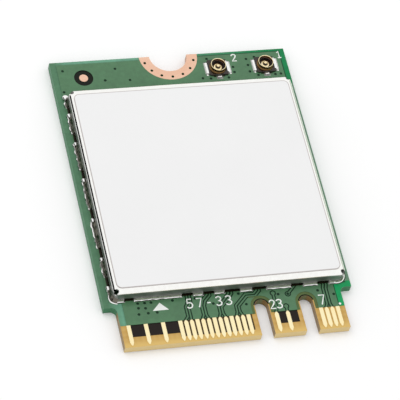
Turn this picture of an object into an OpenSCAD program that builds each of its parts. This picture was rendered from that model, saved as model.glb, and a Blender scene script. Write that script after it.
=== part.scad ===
// Plug-in wireless card: a green board with a keyed contact edge, a half-round screw notch at
// the other end, a soldered shield can over the radio parts and two antenna receptacles.
// The card lies on its underside. X runs across it, Y from the contact edge to the screw
// notch and Z up, and the origin is under the middle of the board.

/* [Board] */
// Width of the board across its long sides
board_w = 22; // [21.8:0.1:24]
// Length from the contact edge to the screw end
board_l = 30; // [29.8:0.1:34]
// Thickness of the bare glass-epoxy laminate
laminate_t = 0.72; // [0.6:0.02:1.4]
// Thickness of the copper on each face, and of the gold contacts
copper_t = 0.04; // [0.03:0.01:0.08]
// Thickness of the green solder mask
mask_t = 0.02; // [0.02:0.01:0.04]
// Width of the side borders that have no copper under the mask
side_border = 0.55; // [0.4:0.05:0.6]
// Width of the same border along the screw end
end_border = 0.33; // [0.25:0.01:0.6]

/* [Contact edge] */
// Width of the tongue that plugs into the socket
tongue_w = 19.85; // [19.7:0.05:20]
// Length of the tongue, from the contact edge to the shoulders
tongue_l = 4; // [3.8:0.1:4.1]
// Inner radius where the tongue meets the shoulders
shoulder_r = 0.5; // [0.3:0.05:0.6]
// Width of a key notch
key_w = 1.2; // [1:0.05:1.3]
// Depth of a key notch, to the crown of its round end
key_depth = 3.5; // [3:0.1:3.8]
// Distance from the contact edge to the edge of the mask
mask_setback = 2.13; // [2:0.01:2.4]
// Width of a contact
contact_w = 0.35; // [0.3:0.01:0.38]
// Bare laminate between a contact's tip and the contact edge
contact_inset = 0.15; // [0.1:0.01:0.3]
// Length of a contact's tapered tip
contact_tip_l = 0.3; // [0.2:0.05:0.5]
// Width left at the end of the tip
contact_tip_w = 0.1; // [0.06:0.01:0.2]
// Length of the taper where a trace joins a contact
contact_neck_l = 0.2; // [0.1:0.05:0.4]
// Width of a trace
trace_w = 0.13; // [0.1:0.01:0.15]
// Width of the bare strip on each side of a trace, where the mask sinks in
trace_gap = 0.11; // [0.08:0.01:0.12]

/* [Screw notch] */
// Radius of the plated half-round notch
notch_r = 1.75; // [1.7:0.05:1.8]
// Outer radius of the bare copper land round it
land_r = 2.72; // [2.6:0.02:2.9]
// Thickness of the plating on the notch wall
plating_t = 0.05; // [0.03:0.01:0.08]
// Radius of the small vias through the land
land_via_r = 0.13; // [0.1:0.01:0.15]
// Radius of the arc that the vias stand on
land_via_arc_r = 2.38; // [2.3:0.02:2.4]
// Angle between neighbouring vias
land_via_step = 24.5; // [22:0.5:26]

/* [Shield can] */
// Outer width of the can
can_w = 20.62; // [20.4:0.01:20.7]
// Outer length of the can
can_l = 21.43; // [21.2:0.01:21.5]
// Distance of the can to the right of the board's middle
can_x = 0.16; // [0.1:0.01:0.2]
// Distance from the middle of the board to the middle of the can
can_y = 0.31; // [0.28:0.01:0.34]
// Height of the can over its lands
can_h = 1.18; // [1.15:0.01:1.45]
// Thickness of the can's sheet
sheet_t = 0.15; // [0.1:0.01:0.2]
// Outer radius of the bend round the top
bend_r = 0.3; // [0.22:0.01:0.35]
// Outer radius of the upright corners
can_corner_r = 0.55; // [0.5:0.05:0.7]
// Radius of the relief hole in each top corner
relief_r = 0.2; // [0.15:0.01:0.22]
// Clear height under the wall between two feet
foot_gap_h = 0.27; // [0.2:0.01:0.4]
// Width of the solder along the feet
fillet_w = 0.2; // [0.15:0.01:0.24]
// Height of the solder against the wall
fillet_h = 0.24; // [0.2:0.01:0.4]

/* [Label] */
// Width of the blank label on the can
label_w = 19.43; // [18:0.01:19.6]
// Length of the label
label_l = 20.19; // [18:0.01:20.2]
// Thickness of the label
label_t = 0.05; // [0.03:0.01:0.1]
// Corner radius of the label
label_r = 0.5; // [0.3:0.05:1]
// Distance of the label to the right of the board's middle
label_x = 0.05; // [0:0.01:0.2]
// Distance from the middle of the board to the middle of the label
label_y = 0.2; // [0.1:0.01:0.3]

/* [Antenna receptacles] */
// Distance of the first receptacle to the right of the board's middle
antenna_1_x = 8.83; // [8.7:0.01:8.9]
// Distance between the two receptacles
antenna_spacing = 4.5; // [4.4:0.05:4.6]
// Distance of both receptacles from the middle of the board
antenna_y = 13.23; // [13.15:0.01:13.3]
// Outer radius of the contact ring
ring_r = 0.75; // [0.7:0.01:0.8]
// Wall thickness of the contact ring
ring_t = 0.12; // [0.1:0.01:0.14]
// Height of the ring's rim over the lands
ring_h = 0.62; // [0.55:0.01:0.8]
// Width of the insulator
insulator_w = 1.8; // [1.7:0.05:1.9]
// Length of the insulator
insulator_l = 1.7; // [1.6:0.05:1.8]
// Height of the insulator's top over the lands
insulator_h = 0.36; // [0.3:0.01:0.4]

/* [Parts in the can] */
// Side of the square radio chip
chip_w = 8; // [6:0.5:8]
// Thickness of the radio chip
chip_t = 0.72; // [0.6:0.01:0.8]
// Side of the square thermal pad on the chip
thermal_pad_w = 6.6; // [5:0.1:6.6]
// Side of a square front-end module
module_w = 3; // [2.5:0.1:3]
// Thickness of a front-end module
module_t = 0.6; // [0.5:0.01:0.8]
// Height of the solder that the parts stand on, over the copper
solder_t = 0.04; // [0.02:0.01:0.05]

/* [Hidden] */
$fn = 48;
// Overrun of a cutting tool past the face that it cuts
past = 1;

// Levels of the faces, from the underside of the card up
laminate_z = mask_t + copper_t;
laminate_top = laminate_z + laminate_t;
copper_top = laminate_top + copper_t;
mask_top = copper_top + mask_t;
can_top = copper_top + can_h;
seat_z = copper_top + solder_t;

// Lines across the board
edge_y = -board_l / 2;
end_y = board_l / 2;
shoulder_y = edge_y + tongue_l;
mask_edge_y = edge_y + mask_setback;

// Contacts count from the right: odd numbers on the top face, even ones on the underside.
// The socket sets their spacing on one face and the place of the first.
contact_pitch = 0.5;
contact_1_x = 9.25;
function contact_x(n) = contact_1_x - (n - 1) * contact_pitch / 2;
left_key_x = contact_x(27.5);
right_key_x = contact_x(11.5);
top_left = concat([for (n = [33:2:57]) n], [63, 69, 75]);
top_middle = [19, 23];
top_right = [1, 3, 5, 7];
bottom_left = [for (n = [32:2:74]) n];
bottom_middle = [16, 18, 20, 22];
bottom_right = [2, 4, 6];
// Contacts that run straight into a copper plane have square ends, the others a trace
plane_contacts = [1, 2, 4, 7, 18, 33, 39, 45, 51, 57, 63, 69, 72, 74, 75];

// A trace is the number of its contact, then the points of its middle line. Those on the top face
// run in pairs to the gaps between the feet of the can, and end under it.
top_traces = [
    [55, [-3.98, -12.55], [-3.98, -11.6], [-3.7, -11.1], [-3.7, -9.9]],
    [53, [-3.74, -12.55], [-3.74, -11.65], [-3.46, -11.15], [-3.46, -9.9]],
    [49, [-2.6, -12.55], [-2.6, -11.6], [-2.42, -11.08], [-1.9, -10.56], [-1.9, -9.9]],
    [47, [-2.36, -12.55], [-2.36, -11.64], [-2.2, -11.2], [-1.66, -10.66], [-1.66, -9.9]],
    [43, [-1.12, -12.55], [-1.12, -11.83], [-0.36, -11.07], [0, -10.6], [0, -9.9]],
    [41, [-0.88, -12.55], [-0.88, -11.93], [-0.1, -11.15], [0.28, -10.66], [0.28, -9.9]],
    [37, [0.37, -12.55], [0.37, -11.9], [1.41, -10.86], [2.2, -10.86], [2.5, -10.56], [2.5, -9.9]],
    [35, [0.61, -12.55], [0.61, -12], [1.51, -11.1], [2.3, -11.1], [2.74, -10.66], [2.74, -9.9]],
    [23, [3.88, -12.55], [3.88, -11.02]],
    [19, [4.75, -12.42]],
    [5, [8.4, -12.55], [8.4, -10.95], [8.5, -10.6], [8.5, -9.9]],
    [3, [8.66, -12.55], [8.66, -11], [8.76, -10.65], [8.76, -9.9]]
];
// The trace of the via between the key notches starts at that via
via_trace = [[5.18, -11.22], [5.6, -10.8], [6.05, -10.35], [6.05, -9.9]];
top_lands = [[3.88, -11.02], [4.75, -12.42], [5.18, -11.22]];
// Those on the underside run straight to via lands in three staggered rows
bottom_traces = [
    for (n = [6, 20, 22, 34, 36, 38, 40, 42, 46, 48, 50, 52, 54, 56, 58, 60, 62])
        [n, [contact_x(n), bottom_land_y(n)]]
];
function bottom_land_y(n) = -12.4 + 0.45 * ((n / 2) % 3);
bottom_lands = [for (trace = bottom_traces) trace[1]];
via_land_r = 0.17;
// Small vias, through which the mask sinks a little on both faces
via_r = 0.13;
vias = [
    [-9.96, 13.99], [-5.14, 13.89], [-6.28, 12.67], [-4.01, 12.53], [-10.25, 11.65],
    [7.22, 14.04], [7.25, 13.34], [7.27, 12.6], [8.02, 14.21], [7.98, 12.14], [9.59, 12.12],
    [10.12, 12.14], [2.73, 12.18], [3.47, 12.1], [3.53, 14.33], [5.16, 12.08], [5.8, 13.23],
    [5.81, 12.65], [-8.03, -10.84], [-7.43, -10.85], [-6.87, -10.86], [-8.05, -11.31],
    [-7.45, -11.37], [-8.13, -11.92], [-7.31, -11.88], [-6.53, -11.87], [-4.99, -10.84],
    [-3, -10.84], [-1.53, -11.51], [-1.1, -10.84], [0.86, -10.76], [1.32, -11.87],
    [4.32, -11.17], [5.18, -11.22], [7.89, -11.15], [9.23, -11.65]
];

// Seven vias stand on the land, three on each side of the middle one
land_via_angles = [for (i = [-3:3]) -90 + i * land_via_step];

// Round mark for the placement machine, and the clear ring round it
fiducial_pos = [-8.18, 13.1];
fiducial_r = 0.4;
fiducial_clear_r = 0.87;

antenna_2_x = antenna_1_x - antenna_spacing;

// Gaps between the feet of the can, each as its middle and its width, where traces pass under
front_gaps = [[-8.7, 0.85], [-3.6, 1], [-1.7, 1], [0.4, 1.4], [2.8, 1.3], [6.2, 1.1], [8.55, 1.05]];
side_gaps = [[9.45, 0.9], [6.5, 1.05], [2.6, 1.05], [-1.6, 1.05], [-5.6, 1.1], [-8.5, 1.1]];
rear_gaps = [[-8.2, 1], [-4.4, 1], [-0.6, 1], [antenna_2_x, 0.9], [antenna_1_x, 0.7]];
// A can land is this much wider than the wall, outwards and inwards, and longer than its foot
land_out = 0.25;
land_in = 0.2;
land_over = 0.05;

// Ground tabs of a receptacle, and the tail of its centre pin. The insulator stands on the
// mask, one mask thickness over the lands that the tabs and the tail stand on.
tab_l = 1.2;
tab_reach = 1.12;
strip_t = 0.1;
flange_z = 0.16;
root_spread = 0.06;
tail_w = 0.35;
tail_reach = 1.14;
pin_r = 0.13;
pin_h = 0.46;
pin_collar_r = 0.3;
solder_edge = 0.12;

// Places of the parts in the can
chip_pos = [-1, -2.2];
chip_pitch = 0.5;
chip_pads = 14;
chip_pad = [0.26, 0.55];
chip_centre_pad = 5.4;
module_1_pos = [7, 5.6];
module_2_pos = [2.5, 5.6];
module_pitch = 0.6;
module_pads = 4;
module_pad = [0.3, 0.38];
module_centre_pad = 1.6;
crystal_pos = [-6.6, 6.8];
crystal_size = [2.5, 2, 0.55];
flash_pos = [-7.7, 1.4];
flash_size = [2, 3, 0.55];
// A row of like parts is its first place, the step to the next, the count and the turn
inductor_row = [[-7.6, -3.4], [0, -2.9], 2, 0];
filter_row = [[4.27, 9.1], [4.5, 0], 2, 90];
large_capacitor_rows = [
    [[-5.2, -8.3], [1.3, 0], 9, 90],
    [[4.4, -5.6], [0, 1.1], 7, 0],
    [[6.6, -5.6], [0, 1.1], 7, 0]
];
small_capacitor_rows = [[[-4.8, 3], [0.9, 0], 9, 90], [[5.6, 2.9], [0.9, 0], 4, 90]];
resistor_rows = [[[-4.2, 5.2], [0, 0.8], 6, 0], [[-2.6, 5.2], [0, 0.8], 6, 0]];
// Length, width and height of the small parts, and the length of their end caps
inductor_size = [2, 1.6, 0.85, 0.4];
filter_size = [1.6, 0.8, 0.6, 0.3];
large_capacitor_size = [1, 0.5, 0.5, 0.22];
small_capacitor_size = [0.6, 0.3, 0.3, 0.14];
resistor_size = [0.6, 0.3, 0.22, 0.14];

// A rectangle about the origin
module plate(w, l) {
    translate([-w / 2, -l / 2])
        square([w, l]);
}

// A rectangle about the origin with round corners
module round_plate(w, l, r) {
    plate(w - 2 * r, l);
    plate(w, l - 2 * r);
    for (x = [-1, 1], y = [-1, 1])
        translate([x * (w / 2 - r), y * (l / 2 - r)])
            circle(r = r);
}

// The slot of a key notch with its round end, widened all round by a margin
module key_slot(x, margin = 0) {
    crown_y = edge_y + key_depth - key_w / 2;
    translate([x - key_w / 2 - margin, edge_y - past])
        square([key_w + 2 * margin, crown_y - edge_y + past]);
    translate([x, crown_y])
        circle(r = key_w / 2 + margin);
}

module key_slots(margin = 0) {
    key_slot(left_key_x, margin);
    key_slot(right_key_x, margin);
}

// The small filling that rounds each inner corner between tongue and shoulder
module shoulder_fillings() {
    overlap = 0.1;
    for (side = [0, 1])
        mirror([side, 0])
            translate([tongue_w / 2, shoulder_y - shoulder_r])
                difference() {
                    translate([-overlap, 0])
                        square(shoulder_r + overlap);
                    translate([shoulder_r, 0])
                        circle(r = shoulder_r);
                }
}

// The routed outline of the board, with a notch of the given radius at the screw end
module board_outline(notch) {
    difference() {
        union() {
            translate([-board_w / 2, shoulder_y])
                square([board_w, board_l - tongue_l]);
            translate([-tongue_w / 2, edge_y])
                square([tongue_w, tongue_l + past]);
            shoulder_fillings();
        }
        key_slots();
        translate([0, end_y])
            circle(r = notch);
    }
}

// The mask stops short of the contacts, of the key notches and of the screw land
module mask_outline() {
    key_margin = 0.1;
    difference() {
        intersection() {
            board_outline(land_r);
            translate([-board_w / 2, mask_edge_y])
                square([board_w, board_l]);
        }
        key_slots(key_margin);
    }
}

// The copper under the mask keeps clear of the board's edges
module copper_pour() {
    key_clearance = 0.35;
    difference() {
        union() {
            translate([-board_w / 2 + side_border, shoulder_y + side_border])
                square([board_w - 2 * side_border, end_y - end_border - shoulder_y - side_border]);
            translate([-tongue_w / 2 + side_border, mask_edge_y - past])
                square([tongue_w - 2 * side_border, tongue_l + past]);
        }
        key_slots(key_clearance);
    }
}

// A trace's middle line, which starts past the edge of the mask so that the cut there is clean
function trace_line(trace) = concat(
    [[contact_x(trace[0]), mask_edge_y - trace_w], [contact_x(trace[0]), mask_edge_y]],
    [for (i = [1:len(trace) - 1]) trace[i]]
);

// The direction of a line at one of its points, halfway between the runs before and after it
function run(line, i) = (line[i + 1] - line[i]) / norm(line[i + 1] - line[i]);
function heading(line, i) = run(line, max(i - 1, 0)) + run(line, min(i, len(line) - 2));
function sideways(v) = [-v[1], v[0]] / norm(v);

// A strip of even width along a line of points
module strip(line, w) {
    last = len(line) - 1;
    polygon(concat(
        [for (i = [0:last]) line[i] + sideways(heading(line, i)) * w / 2],
        [for (i = [last:-1:0]) line[i] - sideways(heading(line, i)) * w / 2]
    ));
}

// Traces and the round lands on them, widened all round by a margin
module routes(lines, lands, margin) {
    for (line = lines)
        strip(line, trace_w + 2 * margin);
    for (pos = lands)
        translate(pos)
            circle(r = via_land_r + margin);
}

// The copper that the mask covers: the pour, cleared round the traces, and pierced by the vias
module covered_copper(lines, lands) {
    difference() {
        union() {
            difference() {
                copper_pour();
                routes(lines, lands, trace_gap);
            }
            routes(lines, lands, 0);
        }
        for (pos = vias)
            translate(pos)
                circle(r = via_r);
    }
}

module land_vias() {
    for (a = land_via_angles)
        translate([land_via_arc_r * cos(a), end_y + land_via_arc_r * sin(a), -past])
            cylinder(r = land_via_r, h = mask_top + 2 * past);
}

module circuit_board() {
    color("#c9a04c")
        difference() {
            translate([0, 0, laminate_z])
                linear_extrude(laminate_t)
                    board_outline(notch_r + plating_t);
            land_vias();
        }
}

// One gold contact with its tapered tip, and a square end or a neck down to a trace
module contact(n) {
    half = contact_w / 2;
    tip_y = edge_y + contact_inset;
    square_end = len(search(n, plane_contacts)) > 0;
    tip = [
        [-half, tip_y + contact_tip_l],
        [-contact_tip_w / 2, tip_y],
        [contact_tip_w / 2, tip_y],
        [half, tip_y + contact_tip_l]
    ];
    square_top = [[half, mask_edge_y], [-half, mask_edge_y]];
    necked_top = [
        [half, mask_edge_y - contact_neck_l],
        [trace_w / 2, mask_edge_y],
        [-trace_w / 2, mask_edge_y],
        [-half, mask_edge_y - contact_neck_l]
    ];
    translate([contact_x(n), 0])
        polygon(concat(tip, square_end ? square_top : necked_top));
}

module contacts(numbers, z) {
    color("#f0d48a")
        translate([0, 0, z])
            linear_extrude(copper_t)
                for (n = numbers)
                    contact(n);
}

module top_contacts_left() {
    contacts(top_left, laminate_top);
}

module top_contacts_middle() {
    contacts(top_middle, laminate_top);
}

module top_contacts_right() {
    contacts(top_right, laminate_top);
}

module bottom_contacts_left() {
    contacts(bottom_left, mask_t);
}

module bottom_contacts_middle() {
    contacts(bottom_middle, mask_t);
}

module bottom_contacts_right() {
    contacts(bottom_right, mask_t);
}

// Round gold pads for the test needles, in two rows on the underside
module test_pad_outline() {
    pad_r = 0.4;
    for (x = [-6.35:2.54:6.35], y = [4, 6.54])
        translate([x, y])
            circle(r = pad_r);
}

module test_pads() {
    color("#f0d48a")
        translate([0, 0, mask_t])
            linear_extrude(copper_t)
                test_pad_outline();
}

// The bare copper land clamps under the screw head, and its plated wall joins both faces
module bare_screw_land() {
    color("#eab79c")
        difference() {
            intersection() {
                translate([0, end_y, 0])
                    union() {
                        translate([0, 0, laminate_top])
                            cylinder(r = land_r, h = copper_t);
                        translate([0, 0, mask_t])
                            cylinder(r = land_r, h = copper_t);
                        translate([0, 0, mask_t])
                            cylinder(r = notch_r + plating_t, h = copper_top - mask_t);
                    }
                translate([-board_w / 2, 0, -past])
                    cube([board_w, end_y, mask_top + 2 * past]);
            }
            translate([0, end_y, -past])
                cylinder(r = notch_r, h = mask_top + 2 * past);
            land_vias();
        }
}

module fiducial_dot() {
    color("#eab79c")
        translate([fiducial_pos[0], fiducial_pos[1], laminate_top])
            cylinder(r = fiducial_r, h = copper_t);
}

// The mask lies lower on the bare border, beside the traces and in the vias than on the copper
module solder_mask_top() {
    lines = concat([for (trace = top_traces) trace_line(trace)], [via_trace]);
    color("#4f8a62")
        difference() {
            translate([0, 0, laminate_top])
                union() {
                    linear_extrude(mask_t)
                        mask_outline();
                    linear_extrude(mask_t + copper_t)
                        intersection() {
                            mask_outline();
                            covered_copper(lines, top_lands);
                        }
                }
            translate([0, 0, laminate_top - past])
                linear_extrude(mask_top - laminate_top + 2 * past)
                    union() {
                        can_land_outline();
                        part_lands();
                        receptacle_lands(antenna_1_x);
                        receptacle_lands(antenna_2_x);
                        translate(fiducial_pos)
                            circle(r = fiducial_clear_r);
                    }
        }
}

module solder_mask_bottom() {
    lines = [for (trace = bottom_traces) trace_line(trace)];
    color("#4f8a62")
        difference() {
            union() {
                translate([0, 0, copper_t])
                    linear_extrude(mask_t)
                        mask_outline();
                linear_extrude(mask_t + copper_t)
                    intersection() {
                        mask_outline();
                        covered_copper(lines, bottom_lands);
                    }
            }
            translate([0, 0, -past])
                linear_extrude(laminate_z + past)
                    test_pad_outline();
        }
}

// The plan of the can, grown or shrunk all round
module can_plan(grow) {
    translate([can_x, can_y])
        round_plate(can_w + 2 * grow, can_l + 2 * grow, can_corner_r + grow);
}

// One bar across each gap between the feet, shortened by a margin at both ends
module gap_bars(margin = 0) {
    reach = 0.5;
    for (gap = front_gaps)
        translate([gap[0], can_y - can_l / 2])
            plate(gap[1] - 2 * margin, 2 * reach);
    for (gap = rear_gaps)
        translate([gap[0], can_y + can_l / 2])
            plate(gap[1] - 2 * margin, 2 * reach);
    for (gap = side_gaps, x = [-1, 1])
        translate([can_x + x * can_w / 2, gap[0]])
            plate(2 * reach, gap[1] - 2 * margin);
}

module can_land_outline() {
    difference() {
        can_plan(land_out);
        can_plan(-sheet_t - land_in);
        gap_bars(land_over);
    }
}

module can_lands() {
    color("#c8ccc8")
        translate([0, 0, laminate_top])
            linear_extrude(copper_t)
                can_land_outline();
}

// Sweeps a profile round the can. The profile's X is measured outwards from a corner's centre.
module sweep_round_can() {
    run_x = can_w / 2 - can_corner_r;
    run_y = can_l / 2 - can_corner_r;
    for (x = [0, 1], y = [0, 1])
        mirror([x, 0, 0])
            mirror([0, y, 0])
                translate([run_x, run_y, 0]) {
                    rotate_extrude(angle = 90)
                        children();
                    rotate([90, 0, 0])
                        linear_extrude(run_y)
                            children();
                    translate([-run_x, 0, 0])
                        rotate([90, 0, 90])
                            linear_extrude(run_x)
                                children();
                }
}

// The section inside a wall, with its top edge rounded
module filled_section(w, h, r) {
    square([w, h - r]);
    square([w - r, h]);
    translate([w - r, h - r])
        intersection() {
            circle(r = r);
            square(r);
        }
}

// The bent section of the sheet: the wall, the bend and the start of the top
module sheet_section() {
    difference() {
        filled_section(can_corner_r, can_h, bend_r);
        filled_section(can_corner_r - sheet_t, can_h - sheet_t, bend_r - sheet_t);
    }
}

// The folded sheet stands on its feet, with a relief hole where three bends meet
module shield_can() {
    relief_in = 0.27;
    relief_depth = 0.5;
    color("#d4d5d2")
        translate([can_x, can_y, copper_top])
            difference() {
                union() {
                    sweep_round_can()
                        sheet_section();
                    translate([0, 0, can_h - sheet_t])
                        linear_extrude(sheet_t)
                            plate(can_w - 2 * can_corner_r, can_l - 2 * can_corner_r);
                }
                for (x = [-1, 1], y = [-1, 1])
                    translate([
                        x * (can_w / 2 - relief_in),
                        y * (can_l / 2 - relief_in),
                        can_h - relief_depth
                    ])
                        cylinder(r = relief_r, h = relief_depth + past);
                translate([-can_x, -can_y, -past])
                    linear_extrude(foot_gap_h + past)
                        gap_bars();
            }
}

// The hollow section of the solder between a foot and its land
module fillet_section() {
    lip = 0.03;
    translate([can_corner_r, 0])
        difference() {
            square([fillet_w, fillet_h]);
            translate([fillet_w, fillet_h])
                circle(r = fillet_w - lip);
        }
}

module can_solder() {
    color("#e6e8e6")
        translate([can_x, can_y, copper_top])
            difference() {
                sweep_round_can()
                    fillet_section();
                translate([-can_x, -can_y, -past])
                    linear_extrude(fillet_h + 2 * past)
                        gap_bars();
            }
}

module label() {
    color("#f0f0f0")
        translate([label_x, label_y, can_top])
            linear_extrude(label_t)
                round_plate(label_w, label_l, label_r);
}

// Lands under the two ground tabs and the tail of a receptacle
module receptacle_lands(x) {
    translate([x, antenna_y]) {
        for (side = [-1, 1])
            translate([side * (insulator_w / 2 + tab_reach + solder_edge) / 2, 0])
                plate(tab_reach + solder_edge - insulator_w / 2, tab_l + 2 * solder_edge);
        translate([0, -(insulator_l / 2 + tail_reach + solder_edge) / 2])
            plate(tail_w + 2 * solder_edge, tail_reach + solder_edge - insulator_l / 2);
    }
}

module at_receptacle(x) {
    translate([x, antenna_y, copper_top])
        children();
}

// The flat flange and the two bent tabs that stand outside the insulator
module shell_tabs() {
    flange_l = 0.9;
    for (side = [0, 1])
        mirror([side, 0, 0]) {
            translate([ring_r - ring_t, -flange_l / 2, flange_z])
                cube([insulator_w / 2 + strip_t - ring_r + ring_t, flange_l, strip_t]);
            translate([insulator_w / 2, -tab_l / 2, 0])
                cube([strip_t, tab_l, flange_z + strip_t]);
            translate([insulator_w / 2, -tab_l / 2, 0])
                cube([tab_reach - insulator_w / 2, tab_l, strip_t]);
        }
}

// The contact ring with its rolled rim, and the spread root that the insulator holds
module receptacle_shell(x) {
    rim_r = ring_t / 2;
    color("#e3b95c")
        at_receptacle(x) {
            rotate_extrude() {
                polygon([
                    [ring_r - ring_t, flange_z],
                    [ring_r + root_spread, flange_z],
                    [ring_r, insulator_h],
                    [ring_r - ring_t, insulator_h]
                ]);
                translate([ring_r - ring_t, insulator_h])
                    square([ring_t, ring_h - rim_r - insulator_h]);
                translate([ring_r - rim_r, ring_h - rim_r])
                    circle(r = rim_r);
            }
            shell_tabs();
        }
}

// The moulded block holds the ring in a round pocket and the pin in its floor
module receptacle_insulator(x) {
    corner_r = 0.15;
    color("#2b211d")
        at_receptacle(x)
            difference() {
                translate([0, 0, mask_t])
                    linear_extrude(insulator_h - mask_t)
                        round_plate(insulator_w, insulator_l, corner_r);
                translate([0, 0, flange_z])
                    cylinder(r1 = ring_r + root_spread, r2 = ring_r, h = insulator_h - flange_z);
                translate([0, 0, insulator_h])
                    cylinder(r = ring_r, h = past);
                shell_tabs();
                pin_solid();
            }
}

// The centre pin with its collar, its domed head and the tail that runs out to the front
module pin_solid() {
    collar_t = 0.05;
    translate([0, 0, mask_t])
        cylinder(r = pin_r, h = pin_h - pin_r - mask_t);
    translate([0, 0, pin_h - pin_r])
        sphere(r = pin_r);
    translate([0, 0, flange_z])
        cylinder(r = pin_collar_r, h = collar_t);
    translate([-tail_w / 2, -tail_reach, mask_t])
        cube([tail_w, tail_reach, strip_t - mask_t]);
    translate([-tail_w / 2, -tail_reach, 0])
        cube([tail_w, tail_reach - insulator_l / 2, strip_t]);
}

module receptacle_pin(x) {
    color("#f0c96a")
        at_receptacle(x)
            pin_solid();
}

// Lands of one receptacle with the solder that climbs the ends of its tabs and tail
module receptacle_solder(x) {
    color("#e6e8e6") {
        translate([0, 0, laminate_top])
            linear_extrude(copper_t)
                receptacle_lands(x);
        at_receptacle(x) {
            for (side = [0, 1])
                mirror([side, 0, 0])
                    translate([tab_reach, -tab_l / 2, 0])
                        solder_ramp(tab_l);
            translate([-tail_w / 2, -tail_reach, 0])
                rotate([0, 0, -90])
                    solder_ramp(tail_w);
        }
    }
}

// A hollow ramp of solder against a strip's end
module solder_ramp(l) {
    lip = 0.02;
    translate([0, l, 0])
        rotate([90, 0, 0])
            linear_extrude(l)
                difference() {
                    square([solder_edge, strip_t]);
                    translate([solder_edge, strip_t])
                        circle(r = strip_t - lip);
                }
}

module antenna_1_shell() {
    receptacle_shell(antenna_1_x);
}

module antenna_1_insulator() {
    receptacle_insulator(antenna_1_x);
}

module antenna_1_pin() {
    receptacle_pin(antenna_1_x);
}

module antenna_1_solder() {
    receptacle_solder(antenna_1_x);
}

module antenna_2_shell() {
    receptacle_shell(antenna_2_x);
}

module antenna_2_insulator() {
    receptacle_insulator(antenna_2_x);
}

module antenna_2_pin() {
    receptacle_pin(antenna_2_x);
}

module antenna_2_solder() {
    receptacle_solder(antenna_2_x);
}

// Sets its child down at each place of a row
module in_row(row) {
    for (i = [0:row[2] - 1])
        translate(row[0] + i * row[1])
            rotate(row[3])
                children();
}

// Two lands under the end caps of a small part
module end_lands(size) {
    edge = 0.06;
    for (side = [-1, 1])
        translate([side * (size[0] - size[3]) / 2, 0])
            plate(size[3] + 2 * edge, size[1] + edge);
}

// Short lands along the four sides of a square chip, and one under its middle
module square_chip_lands(w, count, pitch, pad, centre) {
    plate(centre, centre);
    for (turn = [0:90:270], i = [0:count - 1])
        rotate(turn)
            translate([(i - (count - 1) / 2) * pitch, w / 2 - pad[1] / 2])
                plate(pad[0], pad[1]);
}

// Four lands along each short side of the flash chip, reaching out past its edge
module flash_lands() {
    pitch = 0.5;
    land = [0.28, 0.5];
    reach = 0.05;
    for (side = [-1, 1], i = [-1.5:1.5])
        translate([i * pitch, side * (flash_size[1] / 2 + reach - land[1] / 2)])
            plate(land[0], land[1]);
}

// One land under each corner of the crystal
module crystal_lands() {
    land = [0.8, 0.65];
    inset = 0.05;
    for (x = [-1, 1], y = [-1, 1])
        translate([
            x * (crystal_size[0] / 2 - inset - land[0] / 2),
            y * (crystal_size[1] / 2 - inset - land[1] / 2)
        ])
            plate(land[0], land[1]);
}

// Every land of the parts in the can
module part_lands() {
    translate(chip_pos)
        square_chip_lands(chip_w, chip_pads, chip_pitch, chip_pad, chip_centre_pad);
    for (pos = [module_1_pos, module_2_pos])
        translate(pos)
            square_chip_lands(module_w, module_pads, module_pitch, module_pad, module_centre_pad);
    translate(flash_pos)
        flash_lands();
    translate(crystal_pos)
        crystal_lands();
    in_row(inductor_row)
        end_lands(inductor_size);
    in_row(filter_row)
        end_lands(filter_size);
    for (row = large_capacitor_rows)
        in_row(row)
            end_lands(large_capacitor_size);
    for (row = small_capacitor_rows)
        in_row(row)
            end_lands(small_capacitor_size);
    for (row = resistor_rows)
        in_row(row)
            end_lands(resistor_size);
}

module part_solder() {
    color("#d8dad8")
        translate([0, 0, laminate_top])
            linear_extrude(copper_t + solder_t)
                part_lands();
}

// A flat moulded chip with the round mark of its first contact
module moulded_chip(w, l, t) {
    mark_r = 0.15;
    mark_depth = 0.03;
    difference() {
        linear_extrude(t)
            plate(w, l);
        translate([-w / 2 + 2 * mark_r, l / 2 - 2 * mark_r, t - mark_depth])
            cylinder(r = mark_r, h = past);
    }
}

module radio_chip() {
    color("#26282a")
        translate([chip_pos[0], chip_pos[1], seat_z])
            moulded_chip(chip_w, chip_w, chip_t);
}

// The soft pad fills the space between the chip and the can
module thermal_pad() {
    color("#8fa3b5")
        translate([chip_pos[0], chip_pos[1], seat_z + chip_t])
            linear_extrude(can_top - sheet_t - seat_z - chip_t)
                plate(thermal_pad_w, thermal_pad_w);
}

module front_end_module_1() {
    color("#2d2f31")
        translate([module_1_pos[0], module_1_pos[1], seat_z])
            moulded_chip(module_w, module_w, module_t);
}

module front_end_module_2() {
    color("#2d2f31")
        translate([module_2_pos[0], module_2_pos[1], seat_z])
            moulded_chip(module_w, module_w, module_t);
}

module flash_chip() {
    color("#2d2f31")
        translate([flash_pos[0], flash_pos[1], seat_z])
            moulded_chip(flash_size[0], flash_size[1], flash_size[2]);
}

// A ceramic tray closed by a welded metal lid
module crystal() {
    lid_in = 0.12;
    lid_t = 0.08;
    lid_r = 0.2;
    color("#c9b98a")
        translate([crystal_pos[0], crystal_pos[1], seat_z]) {
            linear_extrude(crystal_size[2] - lid_t)
                plate(crystal_size[0], crystal_size[1]);
            linear_extrude(crystal_size[2])
                round_plate(crystal_size[0] - 2 * lid_in, crystal_size[1] - 2 * lid_in, lid_r);
        }
}

// A block between two end caps that stand slightly proud of it
module capped_block(size) {
    proud = 0.02;
    linear_extrude(size[2] - proud)
        plate(size[0] - size[3], size[1] - 2 * proud);
    for (side = [-1, 1])
        translate([side * (size[0] - size[3]) / 2, 0, 0])
            linear_extrude(size[2])
                plate(size[3], size[1]);
}

module power_inductors() {
    color("#6b6d70")
        translate([0, 0, seat_z])
            in_row(inductor_row)
                capped_block(inductor_size);
}

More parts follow.
